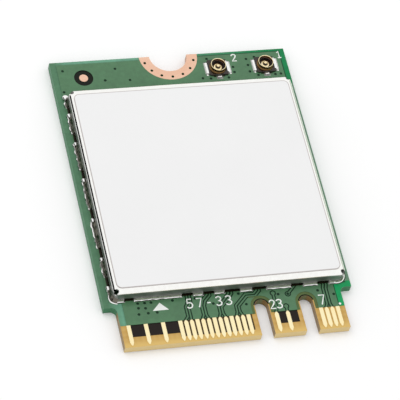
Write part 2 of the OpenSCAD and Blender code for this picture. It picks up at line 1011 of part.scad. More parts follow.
module antenna_filters() {
    color("#dfe3e4")
        translate([0, 0, seat_z])
            in_row(filter_row)
                capped_block(filter_size);
}

module capacitors() {
    color("#a98a6a")
        translate([0, 0, seat_z]) {
            for (row = large_capacitor_rows)
                in_row(row)
                    capped_block(large_capacitor_size);
            for (row = small_capacitor_rows)
                in_row(row)
                    capped_block(small_capacitor_size);
        }
}

module resistors() {
    color("#33363a")
        translate([0, 0, seat_z])
            for (row = resistor_rows)
                in_row(row)
                    capped_block(resistor_size);
}

circuit_board();
solder_mask_top();
solder_mask_bottom();
bare_screw_land();
fiducial_dot();
top_contacts_left();
top_contacts_middle();
top_contacts_right();
bottom_contacts_left();
bottom_contacts_middle();
bottom_contacts_right();
test_pads();
can_lands();
shield_can();
can_solder();
label();
antenna_1_shell();
antenna_1_insulator();
antenna_1_pin();
antenna_1_solder();
antenna_2_shell();
antenna_2_insulator();
antenna_2_pin();
antenna_2_solder();
radio_chip();
thermal_pad();
front_end_module_1();
front_end_module_2();
antenna_filters();
crystal();
flash_chip();
power_inductors();
capacitors();
resistors();
part_solder();
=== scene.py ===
"""Wireless card with a contact edge: its finishes, the fine pieces, the floor and the light."""
import math

import bmesh
import bpy
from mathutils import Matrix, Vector, noise


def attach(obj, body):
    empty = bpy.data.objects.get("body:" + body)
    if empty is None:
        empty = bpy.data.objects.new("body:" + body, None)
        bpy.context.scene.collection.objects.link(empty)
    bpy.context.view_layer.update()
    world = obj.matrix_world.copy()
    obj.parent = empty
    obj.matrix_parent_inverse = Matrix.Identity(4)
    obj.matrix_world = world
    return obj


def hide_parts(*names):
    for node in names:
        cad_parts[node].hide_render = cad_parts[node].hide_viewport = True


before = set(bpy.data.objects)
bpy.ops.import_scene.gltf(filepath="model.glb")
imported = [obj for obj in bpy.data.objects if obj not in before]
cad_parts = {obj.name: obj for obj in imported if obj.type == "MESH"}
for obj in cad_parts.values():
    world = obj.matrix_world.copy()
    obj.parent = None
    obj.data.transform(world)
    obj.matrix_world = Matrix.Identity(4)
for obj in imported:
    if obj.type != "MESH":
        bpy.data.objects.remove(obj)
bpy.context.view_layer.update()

MM = 0.001
# Vertices closer than this, in metres, are one
SAME_PLACE = 0.0005 * MM

# Levels of the card's faces in mm, from the underside up, as the solids have them
UNDERSIDE_POUR = 0.0
UNDERSIDE_BORDER = 0.04
BORDER_TOP = 0.80
COPPER_TOP = 0.82
MASK_TOP = 0.84
CAN_TOP = 2.0
LABEL_TOP = 2.05
# The label's middle, half its size and the radius of its corners
LABEL_MIDDLE = (0.15, 0.29)
LABEL_HALF = (9.95, 10.19)
LABEL_CORNER = 0.5
# Middles of the two key notches
KEYS_X = (2.625, 6.625)
# Edges of the copper under the mask: its sides and rear end on the board, the shoulders' front
# end, its sides on the tongue, and how far it keeps from a key and where that starts
POUR_SIDE = 10.45
POUR_REAR = 14.67
POUR_SHOULDER = -10.45
POUR_TONGUE_SIDE = 9.375
POUR_OFF_KEY = 0.98
POUR_KEY_REAR = -11.12
# The strip of the right border that lies in the can's shade: its left side and its two ends
SHADE_LEFT = 10.4
SHADE_ENDS = (-10.4, 11.0)
# The copper plane inside the board: its middle and half its width, its front end, the same
# between the close contacts, and the middle and half width of the clearing round each key
PLANE_MIDDLE = -1.45
PLANE_HALF = 7.63
PLANE_FRONT = -14.03
PLANE_FRONT_IN_GROUP = -14.4
PLANE_CLEARINGS = ((2.6, 1.02), (6.68, 1.04))
# Middle and half width of the group of close contacts, and the front end of the mask
GROUP_MIDDLE = -1.6
GROUP_HALF = 3.35
MASK_FRONT = -12
# Pitch of the glass yarns and thickness of a ply
YARN_PITCH = 0.5
PLY = 0.12
# Blender's wave repeats each 0.314 units at a scale of 1
WAVE_PITCH = 0.314
# How much a press tool roughens an upright wall, where the wall is painted darkest as shade
WALL_ROUGHNESS = 0.45


def linear(colour):
    """Turns an sRGB hex colour into the linear colour that a socket takes."""
    parts = [int(colour[i:i + 2], 16) / 255 for i in (0, 2, 4)]
    parts = [p / 12.92 if p <= 0.04045 else ((p + 0.055) / 1.055) ** 2.4 for p in parts]
    return (*parts, 1.0)


def add(tree, kind, inputs=None, **settings):
    """Adds one node with its settings; an input takes a value or another node's output."""
    node = tree.nodes.new("ShaderNode" + kind)
    for name, value in settings.items():
        setattr(node, name, value)
    for socket, value in (inputs or {}).items():
        if isinstance(value, bpy.types.NodeSocket):
            tree.links.new(value, node.inputs[socket])
        else:
            node.inputs[socket].default_value = value
    return node


def new_material(name):
    """Gives an empty material and its node tree."""
    material = bpy.data.materials.new(name)
    material.use_nodes = True
    material.node_tree.nodes.clear()
    return material, material.node_tree


def calc(tree, operation, *values):
    """Adds one step of arithmetic and gives its result."""
    return add(tree, "Math", dict(enumerate(values)), operation=operation).outputs[0]


def distance(tree, coordinate, place):
    """How far a coordinate lies from a place in mm, in metres."""
    return calc(tree, "ABSOLUTE", calc(tree, "SUBTRACT", coordinate, place * MM))


def ramp(tree, value, start, end, low=0.0, high=1.0):
    """Goes from low to high while a value goes from start to end, and stays level outside."""
    return add(tree, "MapRange", {
        "Value": value, "From Min": start, "From Max": end,
        "To Min": low, "To Max": high}).outputs[0]


def blend(tree, factor, first, second, how="MIX"):
    """Mixes two colours; each is an sRGB hex colour or another node's output."""
    pair = [linear(colour) if isinstance(colour, str) else colour for colour in (first, second)]
    return add(tree, "Mix", {"Factor": factor, 6: pair[0], 7: pair[1]},
               data_type="RGBA", blend_type=how).outputs[2]


def halfway(tree, first, second):
    """The mean of two values."""
    return add(tree, "Mix", {"Factor": 0.5, 2: first, 3: second}).outputs[0]


def patches(tree, place, size, detail=2.0):
    """Smooth noise with patches of about this size in mm."""
    return add(tree, "TexNoise", {
        "Vector": place, "Scale": 1 / (size * MM), "Detail": detail}).outputs["Fac"]


def bands(tree, place, axis, pitch, waver):
    """Soft bands across an axis, one to each pitch in mm, that waver a little."""
    return add(tree, "TexWave", {
        "Vector": place, "Scale": WAVE_PITCH / (pitch * MM), "Distortion": waver},
        bands_direction=axis).outputs["Fac"]


def levelness(tree):
    """1 on a face that looks straight up or down, 0 on an upright one."""
    normal = add(tree, "NewGeometry").outputs["Normal"]
    return calc(tree, "ABSOLUTE", add(tree, "SeparateXYZ", {0: normal}).outputs["Z"])


def relief(tree, height, strength, depth):
    """Raises and sinks the surface by a pattern, to a depth in mm."""
    return add(tree, "Bump", {
        "Height": height, "Strength": strength, "Distance": depth * MM}).outputs[0]


def surface(tree, inputs):
    """Ends a material with the skin that its inputs describe."""
    skin = add(tree, "BsdfPrincipled", inputs)
    add(tree, "OutputMaterial", {"Surface": skin.outputs[0]})


def solder_mask(name, pour_z, border_z):
    """Screen-printed green epoxy, cured glossy: even over copper, with painted shade where it sinks into
    grooves and vias, and tinted by the glass and by painted light where the border has no copper under it."""
    material, tree = new_material(name)
    place = add(tree, "TexCoord").outputs["Object"]
    x, y, z = add(tree, "SeparateXYZ", {0: place}).outputs
    # The bare border, with painted light in it: greyish on the left, paler at the rear, bright green on
    # the right where light comes through the board
    rear = blend(tree, ramp(tree, x, -10.6 * MM, -9.5 * MM), "537E5F", "689E82")
    right = blend(tree, ramp(tree, y, 12 * MM, -11 * MM), "057C46", "0A9A58")
    border = blend(tree, ramp(tree, x, -3 * MM, 8.5 * MM), rear, right)
    # Beside the can the right border is painted greyer, as the wall's shade
    along_can = calc(tree, "MULTIPLY", calc(tree, "GREATER_THAN", y, SHADE_ENDS[0] * MM),
                     calc(tree, "LESS_THAN", y, SHADE_ENDS[1] * MM))
    on_right = calc(tree, "GREATER_THAN", x, SHADE_LEFT * MM)
    border = blend(tree, calc(tree, "MULTIPLY", along_can, on_right), border, "6C9276")
    # How far a place lies outside the copper's edges, in metres
    across = calc(tree, "ABSOLUTE", x)
    outside = calc(tree, "MAXIMUM", calc(tree, "SUBTRACT", across, POUR_SIDE * MM),
                   calc(tree, "SUBTRACT", y, POUR_REAR * MM))
    shoulder = calc(tree, "MINIMUM", calc(tree, "SUBTRACT", across, POUR_TONGUE_SIDE * MM),
                    calc(tree, "SUBTRACT", POUR_SHOULDER * MM, y))
    outward = calc(tree, "MAXIMUM", outside, shoulder)
    # Painted shade draws a dark line where the mask drops off the copper's edge, fainter on the left
    faint = ramp(tree, x, -6 * MM, 2 * MM, 0.88, 0.32)
    step = ramp(tree, outward, 0.09 * MM, 0.13 * MM, faint, 1.0)
    edged = blend(tree, 1.0, border, step, "MULTIPLY")
    in_border = ramp(tree, outward, -0.03 * MM, -0.02 * MM)
    # Round the two keys the mask lies on clear amber glass
    nearest = calc(tree, "MINIMUM", *(distance(tree, x, key_x) for key_x in KEYS_X))
    by_key = calc(tree, "LESS_THAN", nearest, POUR_OFF_KEY * MM)
    in_front = calc(tree, "LESS_THAN", y, POUR_KEY_REAR * MM)
    # Painted shade: inside the copper the low mask in the grooves is near-black green; round the keys it
    # is olive over the clear amber glass
    low = blend(tree, calc(tree, "MULTIPLY", by_key, in_front), "06301A", "56683A")
    sunk = blend(tree, in_border, low, edged)
    green = blend(tree, ramp(tree, z, border_z * MM, pour_z * MM), sunk, "487550")
    shine = ramp(tree, z, border_z * MM, pour_z * MM, 0.2, 0.5)
    # Ink pools and thins over a few millimetres, and the glass cloth shows through as a mottle
    cloud = patches(tree, place, 2.5)
    mottle = patches(tree, place, 0.35, detail=3.0)
    tone = ramp(tree, halfway(tree, cloud, mottle), 0.3, 0.7, 0.84, 1.16)
    grain = patches(tree, place, 0.12)
    surface(tree, {
        "Base Color": blend(tree, 1.0, green, tone, "MULTIPLY"), "Roughness": 0.3, "IOR": 1.5,
        "Specular IOR Level": shine, "Coat Weight": 0.1, "Coat Roughness": 0.12,
        "Normal": relief(tree, grain, 0.15, 0.01)})
    return material


def glass_laminate(name):
    """Woven glass in amber epoxy, pressed and routed: clear amber over its lowest plies, black
    over the copper inside, brown painted shade between the close contacts, paler plies at
    the cut, and walls behind the cut painted darker as shade."""
    material, tree = new_material(name)
    place = add(tree, "TexCoord").outputs["Object"]
    axes = add(tree, "SeparateXYZ", {0: place}).outputs
    x, y = axes["X"], axes["Y"]
    # The yarns of the glass cloth blur in the resin
    warp = bands(tree, place, "X", YARN_PITCH, 2.5)
    weft = bands(tree, place, "Y", YARN_PITCH, 2.5)
    cloth = halfway(tree, warp, weft)
    resin = blend(tree, cloth, "C09645", "CBA55C")
    # Light comes into the clear resin through its cut edge and makes it paler there
    near_edge = ramp(tree, y, -14.2 * MM, -14.8 * MM)
    resin = blend(tree, near_edge, resin, "D9B566")
    # The copper plane inside ends short of the contact edge, the keys and the sides
    # Between the close contacts the dark reaches further forward, as painted shade of the narrow gaps
    in_group = calc(tree, "LESS_THAN", distance(tree, x, GROUP_MIDDLE), GROUP_HALF * MM)
    front_end = ramp(tree, in_group, 0, 1, PLANE_FRONT * MM, PLANE_FRONT_IN_GROUP * MM)
    plane = calc(tree, "GREATER_THAN", y, front_end)
    for middle, half in PLANE_CLEARINGS:
        clear = calc(tree, "GREATER_THAN", distance(tree, x, middle), half * MM)
        plane = calc(tree, "MULTIPLY", plane, clear)
    within = calc(tree, "LESS_THAN", distance(tree, x, PLANE_MIDDLE), PLANE_HALF * MM)
    plane = calc(tree, "MULTIPLY", plane, within)
    under_mask = calc(tree, "GREATER_THAN", y, MASK_FRONT * MM)
    plane = calc(tree, "MAXIMUM", plane, under_mask)
    # Painted shade: the plane between the close contacts is brown
    plane_and_gap_shade = blend(tree, in_group, "1C140F", "4A3719")
    inner = blend(tree, under_mask, plane_and_gap_shade, "080F03")
    face = blend(tree, plane, resin, inner)
    shine = ramp(tree, plane, 0, 1, 0.5, 0.2)
    # The routed wall shows its plies as level lines; past the tongue the mask has run down it
    plies = bands(tree, place, "Z", PLY, 2.0)
    wall = blend(tree, plies, "D0B36F", "E7CF98")
    # Walls behind the front edge, in the key notches and along the sides, are painted darker brown as
    # shade
    shaded_wall = blend(tree, ramp(tree, y, -14.98 * MM, -14.94 * MM), wall, "8A6E3E")
    green_wall = blend(tree, ramp(tree, y, -11.6 * MM, -11.4 * MM), shaded_wall, "3F7A55")
    colour = blend(tree, ramp(tree, levelness(tree), 0.4, 0.6), green_wall, face)
    surface(tree, {
        "Base Color": colour, "Roughness": 0.4, "IOR": 1.5, "Specular IOR Level": shine,
        "Normal": relief(tree, cloth, 0.1, 0.01)})
    return material


def printed_film(name, middle, half_size, corner):
    """Matt polyester label: an even pale grey, with a thin line of painted shade along its cut edge."""
    material, tree = new_material(name)
    place = add(tree, "TexCoord").outputs["Object"]
    off = add(tree, "VectorMath", {0: place, 1: (middle[0] * MM, middle[1] * MM, 0)},
              operation="SUBTRACT")
    size = add(tree, "VectorMath", {0: off.outputs[0]}, operation="ABSOLUTE")
    past = add(tree, "VectorMath", {
        0: size.outputs[0],
        1: ((half_size[0] - corner) * MM, (half_size[1] - corner) * MM, 1)},
        operation="SUBTRACT")
    beyond = add(tree, "VectorMath", {0: past.outputs[0], 1: (0, 0, 0)}, operation="MAXIMUM")
    reach = add(tree, "VectorMath", {0: beyond.outputs[0]}, operation="LENGTH").outputs["Value"]
    # Painted shade: a thin darker line along the label's cut edge
    edge_shade = ramp(tree, reach, (corner - 0.09) * MM, (corner - 0.04) * MM)
    film = blend(tree, patches(tree, place, 6, detail=3.0), "EDEDED", "F1F1F1")
    surface(tree, {
        "Base Color": blend(tree, edge_shade, film, "BDB6B4"), "Roughness": 0.5, "IOR": 1.5,
        "Normal": relief(tree, patches(tree, place, 0.08), 0.4, 0.002)})
    return material


def metal(name, dark, light, rough_low, rough_high, patch, grain, relief_depth, wall_tone=1.0):
    """A bare metal skin: its tone and gloss drift over patches, and fine grain breaks it up.
    A wall tone below 1 darkens upright faces with painted shade and makes them duller."""
    material, tree = new_material(name)
    place = add(tree, "TexCoord").outputs["Object"]
    drift = patches(tree, place, patch, detail=3.0)
    rough = ramp(tree, drift, 0.3, 0.7, rough_low, rough_high)
    # Painted shade: upright faces are darkened down to the wall tone
    wall_shade = ramp(tree, levelness(tree), 0.15, 0.4, wall_tone)
    toned = blend(tree, 1.0, blend(tree, drift, dark, light), wall_shade, "MULTIPLY")
    scuff = calc(tree, "SUBTRACT", 1.0, wall_shade)
    surface(tree, {
        "Base Color": toned, "Metallic": 1.0,
        "Roughness": calc(tree, "MULTIPLY_ADD", scuff, WALL_ROUGHNESS, rough),
        "Normal": relief(tree, patches(tree, place, grain), 0.4, relief_depth)})
    return material


def moulded(name, dark, light, rough, ior, patch, grain, relief_depth):
    """A moulded, fired or printed body: an even tone with fine grain, as its mould left it."""
    material, tree = new_material(name)
    place = add(tree, "TexCoord").outputs["Object"]
    drift = patches(tree, place, patch, detail=3.0)
    surface(tree, {
        "Base Color": blend(tree, drift, dark, light), "Roughness": rough, "IOR": ior,
        "Normal": relief(tree, patches(tree, place, grain), 0.4, relief_depth)})
    return material


# Finishes. A metal's numbers are its least and most roughness, and in mm its patches of tone,
# its fine grain and the grain's depth; a moulded body's are its roughness, its IOR and the same.
# The board: amber at its edge, black where copper lies inside, and brown painted shade between the close
# contacts
laminate = glass_laminate("glass epoxy laminate, pressed and routed")
# The ink on both faces: glossy mid green over copper, darker with painted shade in the grooves
mask_above = solder_mask("green solder mask, screen printed", MASK_TOP, BORDER_TOP)
mask_below = solder_mask("green solder mask, underside", UNDERSIDE_POUR, UNDERSIDE_BORDER)
# Bare rolled copper, slightly tarnished: pink and satin, its walls darker with painted shade
bare_copper = metal("bare copper, rolled", "E6B496", "F6D2BA", 0.3, 0.42, 1.5, 0.08, 0.004,
                    wall_tone=0.7)
# Nickel-gold plating: pale yellow, satin from the copper's grain
gold_plating = metal("gold plating on copper", "FFE8AE", "FFF8D0", 0.25, 0.38, 1.0, 0.06, 0.003)
# Solder reflowed bright: it sets with a smooth skin and small dull patches
solder = metal("solder, reflowed", "D2D3D2", "F4F4F2", 0.08, 0.25, 0.3, 0.2, 0.008)
# Solder that ran thin and set like a mirror
bright_solder = metal("solder, bright skin", "F0F0EE", "FFFFFD", 0.06, 0.18, 0.3, 0.2, 0.006)
# Solder drawn thin along the front feet, dark with painted shade and tinged green with a painted
# reflection of the mask
shaded_green_solder = metal("solder, drawn thin", "3F4C3A", "9AA48C", 0.15, 0.35, 0.22, 0.12, 0.012)
# Solder that set with a frosted skin
dull_solder = metal("solder, frosted", "8A8C88", "B4B6B0", 0.3, 0.5, 0.2, 0.1, 0.008)
# Solder on the left slopes: dark metal with lighter scratches, the dark being painted shade
shaded_solder = metal("solder, painted shade", "2E2C25", "949084", 0.12, 0.3, 0.25, 0.15, 0.01)
# Black and glossy painted shade, laid on the mask along the feet and in the gaps between them
shade_black = moulded("black painted shade", "120F0A", "2A2416", 0.2, 1.5, 0.3, 0.08, 0.004)
# Tin-plated steel sheet, pressed: white and bright on top, its drawn walls greyer with painted shade
tinned_sheet = metal("tinned steel sheet, pressed", "F2F1ED", "FFFFFC", 0.1, 0.2, 0.35, 0.12,
                     0.004, wall_tone=0.38)
# Rolled rims and pins that the plug has burnished: bright pale gold
bright_gold = metal("gold plated bronze, burnished", "F6DA9C", "FFF6DA", 0.1, 0.2, 0.3, 0.05,
                    0.002)
# Outside of the rings the gold is painted dark brown as shade, under the rim and beside the block
shaded_gold = metal("gold plated bronze, painted shade", "36260F", "927248", 0.15, 0.3, 0.3, 0.05,
                  0.002)
# Gold-plated phosphor bronze as stamped: full yellow and smooth
gold_shell = metal("gold plated bronze, stamped", "EBC676", "FFE9B0", 0.12, 0.22, 0.5, 0.05,
                   0.002)
# Down in the bore the bronze is painted dark as shade
shaded_bronze = metal("bronze bore, painted shade", "2C190C", "6B4630", 0.15, 0.3, 0.2, 0.05, 0.003)
# The label: blank, matt and a shade darker than the can round it
label_film = printed_film("label film, matt polyester", LABEL_MIDDLE, LABEL_HALF, LABEL_CORNER)
# Liquid crystal polymer, injection moulded: nearly black brown and glossy
dark_polymer = moulded("dark polymer, moulded", "1C110B", "2C1C12", 0.18, 1.55, 0.5, 0.05, 0.002)
# Epoxy moulding compound: black-grey with a matt, gritty skin
mould_compound = moulded("epoxy mould compound", "1E1E20", "2A2A2C", 0.55, 1.5, 1.0, 0.06, 0.006)
# Filled silicone, cut from sheet: soft blue-grey and matt
silicone_pad = moulded("filled silicone pad", "7F8C95", "94A1A9", 0.75, 1.42, 0.8, 0.1, 0.01)
# Alumina, fired and ground: off-white
white_ceramic = moulded("alumina, fired", "D8D6CE", "ECEAE4", 0.4, 1.7, 0.4, 0.05, 0.003)
# Ceramic crystal package, fired: warm mid grey
crystal_case = moulded("crystal package, fired", "8C8A84", "A6A49E", 0.35, 1.6, 0.5, 0.05, 0.003)
# Epoxy marking ink, screen printed: opaque white, slightly rough
white_ink = moulded("white marking ink, screen printed", "E6EBE6", "F6F8F5", 0.5, 1.5, 0.5, 0.05,
                    0.003)
# Pressed ferrite round the inductors: dark grey and matt
ferrite = moulded("ferrite, pressed", "33322F", "454440", 0.5, 1.8, 0.4, 0.06, 0.006)
# Fired capacitor ceramic: light tan
tan_ceramic = moulded("capacitor ceramic, fired", "A98560", "C09A72", 0.4, 1.7, 0.3, 0.05, 0.003)
# Printed resistor glaze: black and half glossy
resistor_coat = moulded("resistor glaze, printed", "17181A", "222326", 0.35, 1.55, 0.3, 0.05,
                        0.002)

FINISH_OF_SLOT = {
    "laminate": laminate, "solder_mask": mask_above, "bare_copper": bare_copper,
    "gold_plating": gold_plating, "solder": solder, "tinned_sheet": tinned_sheet,
    "label_film": label_film, "gold_shell": gold_shell, "dark_polymer": dark_polymer,
    "mould_compound": mould_compound, "silicone_pad": silicone_pad,
    "white_ceramic": white_ceramic, "crystal_case": crystal_case, "ferrite": ferrite,
    "tan_ceramic": tan_ceramic, "resistor_coat": resistor_coat,
}
for name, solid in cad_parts.items():
    slot_name = solid.material_slots[0].material.name
    solid.material_slots[0].material = FINISH_OF_SLOT[slot_name]
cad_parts["solder_mask_bottom"].material_slots[0].material = mask_below
for number in (1, 2):
    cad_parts[f"antenna_{number}_solder"].material_slots[0].material = dull_solder


def in_scene(name, data):
    """Puts data into the scene as an object at the origin."""
    thing = bpy.data.objects.new(name, data)
    bpy.context.collection.objects.link(thing)
    return thing


def as_data(name, mesh):
    """Turns a bmesh into mesh data and frees it."""
    data = bpy.data.meshes.new(name)
    mesh.to_mesh(data)
    mesh.free()
    return data


def shown(name, mesh, finish, slot, *stands_for):
    """Finishes a bmesh as a piece that rides on the card and stands for these solids."""
    bmesh.ops.remove_doubles(mesh, verts=mesh.verts, dist=SAME_PLACE)
    bmesh.ops.recalc_face_normals(mesh, faces=mesh.faces)
    data = as_data(name, mesh)
    data.shade_smooth()
    data.set_sharp_from_angle(angle=math.radians(40))
    data.materials.append(finish)
    piece = in_scene(name, data)
    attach(piece, "root")
    if stands_for:
        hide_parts(*stands_for)


def point(x, y, z):
    """A place given in mm, in metres."""
    return Vector((x, y, z)) * MM


def turn(mesh, profile, centre, closed=True, steps=64):
    """Turns a profile of radius and height in mm round the upright axis through a place."""
    corners = [mesh.verts.new(point(centre[0] + r, centre[1], centre[2] + z)) for r, z in profile]
    edges = [mesh.edges.new(pair) for pair in zip(corners, corners[1:])]
    if closed:
        edges.append(mesh.edges.new((corners[-1], corners[0])))
    bmesh.ops.spin(mesh, geom=corners + edges, cent=point(*centre), axis=(0, 0, 1),
                   angle=2 * math.pi, steps=steps, use_merge=True)


def bar(mesh, outline, along, length):
    """Draws a flat outline of points in mm out along a direction."""
    corners = [mesh.verts.new(point(*p)) for p in outline]
    face = mesh.faces.new(corners)
    grown = bmesh.ops.extrude_face_region(mesh, geom=[face])
    moved = [v for v in grown["geom"] if isinstance(v, bmesh.types.BMVert)]
    bmesh.ops.translate(mesh, verts=moved, vec=Vector(along) * length * MM)


def rounded_plate(mesh, middle, half, corner, low, high):
    """A flat plate with round corners, from one height to another; gives its top's vertices."""
    grid = bmesh.ops.create_grid(mesh, x_segments=1, y_segments=1, size=1)["verts"]
    bmesh.ops.scale(mesh, verts=grid, vec=(half[0] * MM, half[1] * MM, 1))
    bmesh.ops.translate(mesh, verts=grid, vec=point(middle[0], middle[1], low))
    rounded = bmesh.ops.bevel(mesh, geom=grid, affect="VERTICES", offset=corner * MM, segments=8,
                              profile=0.5, material=-1)
    base = {f for v in rounded["verts"] for f in v.link_faces}
    grown = bmesh.ops.extrude_face_region(mesh, geom=list(base))
    top = [v for v in grown["geom"] if isinstance(v, bmesh.types.BMVert)]
    bmesh.ops.translate(mesh, verts=top, vec=point(0, 0, high - low))
    return top


def ball(mesh, middle, radius, squash):
    """Adds a ball round a place in mm, squashed along its axes."""
    verts = bmesh.ops.create_uvsphere(mesh, u_segments=16, v_segments=10,
                                      radius=radius * MM)["verts"]
    bmesh.ops.scale(mesh, verts=verts, vec=squash)
    bmesh.ops.translate(mesh, verts=verts, vec=point(*middle))


def ease(mesh):
    """Rounds every edge of a small pressed or soldered piece."""
    bmesh.ops.bevel(mesh, geom=mesh.edges[:], affect="EDGES", offset=0.015 * MM, segments=2,
                    profile=0.5, material=-1)


sheet = bmesh.new()
rounded_plate(sheet, LABEL_MIDDLE, LABEL_HALF, LABEL_CORNER, CAN_TOP, LABEL_TOP)
shown("label_sheet", sheet, label_film, "label_film", "label")

# Middles of the two antenna receptacles on the copper
RECEPTACLES = {1: (8.83, 13.23, COPPER_TOP), 2: (4.33, 13.23, COPPER_TOP)}
# The can's plan in mm, as the solids have it, then the middle and width of each gap between
# its feet
CAN_MIDDLE = (0.16, 0.31)
CAN_HALF = (10.31, 10.715)
CAN_CORNER = 0.55
FRONT_GAPS = ((-8.7, 0.85), (-3.6, 1), (-1.7, 1), (0.4, 1.4), (2.8, 1.3), (6.2, 1.1), (8.55, 1.05))
SIDE_GAPS = ((9.45, 0.9), (6.5, 1.05), (2.6, 1.05), (-1.6, 1.05), (-5.6, 1.1), (-8.5, 1.1))
REAR_GAPS = ((-8.2, 1), (-4.4, 1), (-0.6, 1), (4.33, 0.9), (8.83, 0.7))


def round_the_can(spacing=0.1):
    """Places along the foot of the wall, each with the direction that points away from it."""
    places = []
    for quarter in range(4):
        turned = quarter * math.pi / 2
        sideways = quarter % 2
        run = CAN_HALF[sideways] - CAN_CORNER
        out = CAN_HALF[1 - sideways]
        steps = round(2 * run / spacing)
        spots = [(-run + 2 * run * n / steps, -out, 0.0) for n in range(steps + 1)]
        for n in range(1, 8):
            bend = n * math.pi / 16
            spots.append((run + CAN_CORNER * math.sin(bend),
                          CAN_CORNER - out - CAN_CORNER * math.cos(bend), bend))
        for x, y, bend in spots:
            place = Vector((x * math.cos(turned) - y * math.sin(turned),
                            x * math.sin(turned) + y * math.cos(turned)))
            away = turned + bend - math.pi / 2
            places.append((place + Vector(CAN_MIDDLE), Vector((math.cos(away), math.sin(away)))))
    return places


def in_gap(place, away):
    """Whether the wall is cut away here, between two feet."""
    along, gaps = place.x, FRONT_GAPS if away.y < 0 else REAR_GAPS
    if abs(away.x) > 0.99:
        along, gaps = place.y, SIDE_GAPS
    elif abs(away.y) < 0.99:
        return False
    return any(abs(along - middle) < width / 2 for middle, width in gaps)


def feet():
    """The places along each foot of the can, one list for each foot."""
    places = round_the_can()
    first = next(n for n, spot in enumerate(places) if in_gap(*spot))
    found = [[]]
    for spot in places[first:] + places[:first]:
        if in_gap(*spot):
            found.append([])
        else:
            found[-1].append(spot)
    return [foot for foot in found if len(foot) > 2]


# How often in a mm the width and the height of a bead wander
WIDTH_WANDER = 2.3
HEIGHT_WANDER = 3.1


def bead(mesh, foot, section, rough=0.3):
    """Runs a closed section of points out and up along a foot, its size wandering as solder's
    does; the section is drawn in mm from the wall's foot."""
    rows, columns = len(foot), len(section) + 1
    spots = bmesh.ops.create_grid(mesh, x_segments=columns - 1, y_segments=rows - 1,
                                  size=1)["verts"]
    for row, (place, away) in enumerate(foot):
        wide = 1 + rough * noise.noise(Vector((place.x * WIDTH_WANDER, place.y * WIDTH_WANDER, 0)))
        tall = 1 + 1.5 * rough * noise.noise(Vector((place.x * HEIGHT_WANDER, place.y * HEIGHT_WANDER, 5)))
        for column in range(columns):
            out, up = section[column % len(section)]
            spot = place + away * out * (wide if out > 0 else 1)
            spots[row * columns + column].co = point(spot.x, spot.y, COPPER_TOP + up * tall)
    bmesh.ops.remove_doubles(mesh, verts=mesh.verts, dist=SAME_PLACE)
    bmesh.ops.holes_fill(mesh, edges=[e for e in mesh.edges if e.is_boundary], sides=0)


# Sections of the solder and of the black painted shade, each drawn out and up from the foot of the wall.
# On the left the wide bright lip lies at the land's edge and a steep slope runs up the wall; elsewhere
# there is a thin lip, a low fillet against the wall and a thin line of painted shade outside them.
LIP = [(0.19, 0), (0.2, 0.05), (0.23, 0.07), (0.31, 0.075), (0.345, 0.05), (0.355, 0)]
SLOPE = [(-0.03, 0), (-0.03, 0.42), (0, 0.42), (0.06, 0.27), (0.12, 0.15), (0.17, 0.06), (0.2, 0)]
FILLET = [(-0.03, 0), (-0.03, 0.09), (0, 0.09), (0.04, 0.055), (0.09, 0.035), (0.1, 0)]
THIN_LIP = [(0.075, 0), (0.08, 0.05), (0.1, 0.06), (0.16, 0.055), (0.185, 0.03), (0.19, 0)]
SHADE_LINE = [(0.15, 0), (0.16, 0.015), (0.24, 0.015), (0.255, 0)]
lips, fillets, shade_lines, slopes = bmesh.new(), bmesh.new(), bmesh.new(), bmesh.new()
# A foot that turns a corner takes the left's sections on its left part and the others beyond it
for foot in feet():
    left = [spot for spot in foot if spot[1].x < -0.05]
    left_and_front = [spot for spot in left if spot[1].y < 0.05]
    rest = [spot for spot in foot if spot[1].x >= -0.2]
    if len(left) > 2:
        bead(lips, left_and_front, LIP, 0.4)
        bead(slopes, left, SLOPE)
    if len(rest) > 2:
        bead(lips, rest, THIN_LIP, 0.35)
        bead(fillets, rest, FILLET, 0.5)
        bead(shade_lines, rest, SHADE_LINE)
shown("can_solder_lips", lips, bright_solder, "solder", "can_solder")
shown("can_solder_fillets", fillets, shaded_green_solder, "solder", "can_solder")
shown("can_solder_slopes", slopes, shaded_solder, "solder", "can_solder")
shown("can_shade_lines", shade_lines, shade_black, "solder", "can_solder")

# Bright lumps where the solder gathered, mostly at the rear end of each left foot
LUMPS = ((-10.28, 10.95, 0.32), (-10.27, 8.97, 0.28), (-10.27, 5.9, 0.24), (-10.27, 2.0, 0.26),
         (-10.27, -2.2, 0.26), (-10.27, -6.22, 0.24), (-10.27, -9.15, 0.28), (-10.37, 3.2, 0.12),
         (-10.37, -0.98, 0.12), (-10.37, 7.1, 0.11), (-8.25, -10.55, 0.09), (-4.2, -10.55, 0.1),
         (-3.0, -10.55, 0.09), (5.4, -10.55, 0.08), (9.6, -10.5, 0.1))
LUMP_SQUASH = (0.9, 0.8, 0.5)
lumps = bmesh.new()
for x, y, r in LUMPS:
    ball(lumps, (x, y, COPPER_TOP + 0.6 * r), r, LUMP_SQUASH)
shown("can_solder_lumps", lumps, bright_solder, "solder", "can_solder")

# Black patches of painted shade on the mask in the gaps between the feet, a hair short of each foot: where
# the middles of the pools lie at each wall, and half their depth
POOL_SHORT = 0.02
FRONT_POOL, FRONT_DEPTH = CAN_MIDDLE[1] - CAN_HALF[1] + 0.1, 0.2
REAR_POOL, REAR_DEPTH = CAN_MIDDLE[1] + CAN_HALF[1] - 0.12, 0.17
LEFT_POOL, LEFT_DEPTH = CAN_MIDDLE[0] - CAN_HALF[0] + 0.06, 0.24
RIGHT_POOL, RIGHT_DEPTH = CAN_MIDDLE[0] + CAN_HALF[0] - 0.12, 0.17
# The two pools of painted shadow ahead of each receptacle: their places from its middle and half their
# size
TAIL_POOLS_X = (-0.42, 0.4)
TAIL_POOLS_Y = -0.93
TAIL_POOL_HALF = (0.13, 0.06)
